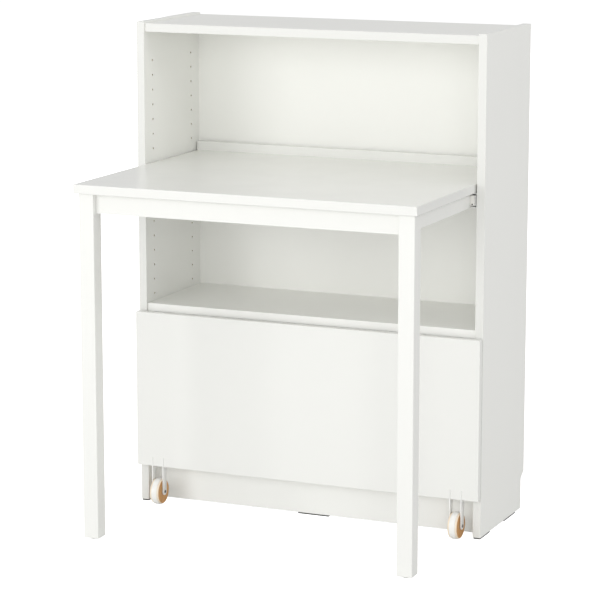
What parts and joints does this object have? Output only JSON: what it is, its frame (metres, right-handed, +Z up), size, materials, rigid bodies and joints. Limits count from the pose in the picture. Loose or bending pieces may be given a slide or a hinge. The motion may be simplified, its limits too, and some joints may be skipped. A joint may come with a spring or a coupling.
{
  "type": "secretary desk",
  "caption": "White open bookcase with a sliding desk on runners and front legs, and a deep storage box that rolls out on castors.",
  "frame": {"origin": "on the floor, at the middle of the footprint with the desk pushed in", "axes": "+Z up; +Y towards the back of the case; +X to the right as seen from the front"},
  "size_m": [0.796, 0.614, 1.06],
  "materials": {
    "white_board": "particleboard with a smooth white foil on all faces",
    "white_back": "thin hardboard, painted white",
    "white_wood": "solid wood and board, satin white lacquer",
    "box_board": "white foil board",
    "bare_wood": "bare beech",
    "dark_plastic": "matt moulded plastic",
    "runner_coat": "white epoxy coated sheet steel",
    "ball_steel": "hardened polished steel",
    "cage_steel": "thin pressed steel",
    "cam_zinc": "die-cast zinc",
    "screw_steel": "zinc plated steel",
    "white_steel": "white powder coat",
    "axle_steel": "turned steel",
    "wheel_wood": "brown stained wood, satin",
    "wheel_rubber": "off-white rubber",
    "bush_plastic": "natural nylon"
  },
  "bodies": {
    "bookcase": {"side_panel_left": "white_board", "side_panel_right": "white_board", "top_board": "white_board", "shelf_board": "white_board", "bottom_board": "white_board", "plinth_board": "white_board", "back_panel": "white_back", "back_nails": "screw_steel", "cam_locks": "cam_zinc", "cam_bolts": "screw_steel", "case_dowels": "bare_wood", "side_glides": "dark_plastic", "plinth_glide": "dark_plastic", "runner_outer_left": "runner_coat", "runner_outer_right": "runner_coat", "runner_case_screws": "screw_steel"},
    "desk": {"desk_top": "white_wood", "rear_upstand": "white_wood", "side_rail_left": "white_wood", "side_rail_right": "white_wood", "leg_left": "white_wood", "leg_right": "white_wood", "front_apron": "white_wood", "desk_dowels": "bare_wood", "leg_glides": "bush_plastic", "top_brackets": "screw_steel", "corner_brackets": "screw_steel", "bracket_screws": "screw_steel", "runner_inner_left": "runner_coat", "runner_inner_right": "runner_coat", "runner_desk_screws": "screw_steel", "runner_caps": "bush_plastic"},
    "runner_left": {"runner_middle_left": "runner_coat", "runner_balls_left": "ball_steel", "ball_cage_left": "cage_steel"},
    "runner_right": {"runner_middle_right": "runner_coat", "runner_balls_right": "ball_steel", "ball_cage_right": "cage_steel"},
    "rolling_box": {"drawer_front": "white_wood", "drawer_side_left": "box_board", "drawer_side_right": "box_board", "drawer_back": "box_board", "drawer_bottom": "box_board", "drawer_dowels": "bare_wood", "drawer_glides": "dark_plastic", "castor_fork_left": "white_steel", "castor_fork_right": "white_steel", "castor_screws": "screw_steel", "axle_left": "axle_steel", "axle_right": "axle_steel", "axle_washers": "screw_steel"},
    "wheel_left": {"wheel_core_left": "wheel_wood", "wheel_tyre_left": "wheel_rubber", "wheel_bush_left": "bush_plastic"},
    "wheel_right": {"wheel_core_right": "wheel_wood", "wheel_tyre_right": "wheel_rubber", "wheel_bush_right": "bush_plastic"}
  },
  "joints": [
    {"name": "desk_slide", "type": "slide", "parent": "bookcase", "child": "desk", "axis": [0, -1, 0], "range_m": [0, 0.25]},
    {"name": "runner_left_slide", "type": "slide", "parent": "bookcase", "child": "runner_left", "axis": [0, -1, 0], "range_m": [0, 0.125]},
    {"name": "runner_right_slide", "type": "slide", "parent": "bookcase", "child": "runner_right", "axis": [0, -1, 0], "range_m": [0, 0.125]},
    {"name": "box_roll", "type": "slide", "parent": "bookcase", "child": "rolling_box", "axis": [0, -1, 0], "range_m": [0, 0.22]},
    {"name": "wheel_left_spin", "type": "hinge", "parent": "rolling_box", "child": "wheel_left", "pos_m": [-0.348, 0.015, 0.029], "axis": [1, 0, 0], "continuous": true},
    {"name": "wheel_right_spin", "type": "hinge", "parent": "rolling_box", "child": "wheel_right", "pos_m": [0.348, 0.015, 0.029], "axis": [1, 0, 0], "continuous": true}
  ],
  "couplings": [
    {"joint": "runner_left_slide", "follows": "desk_slide", "ratio": 0.5},
    {"joint": "runner_right_slide", "follows": "desk_slide", "ratio": 0.5}
  ]
}
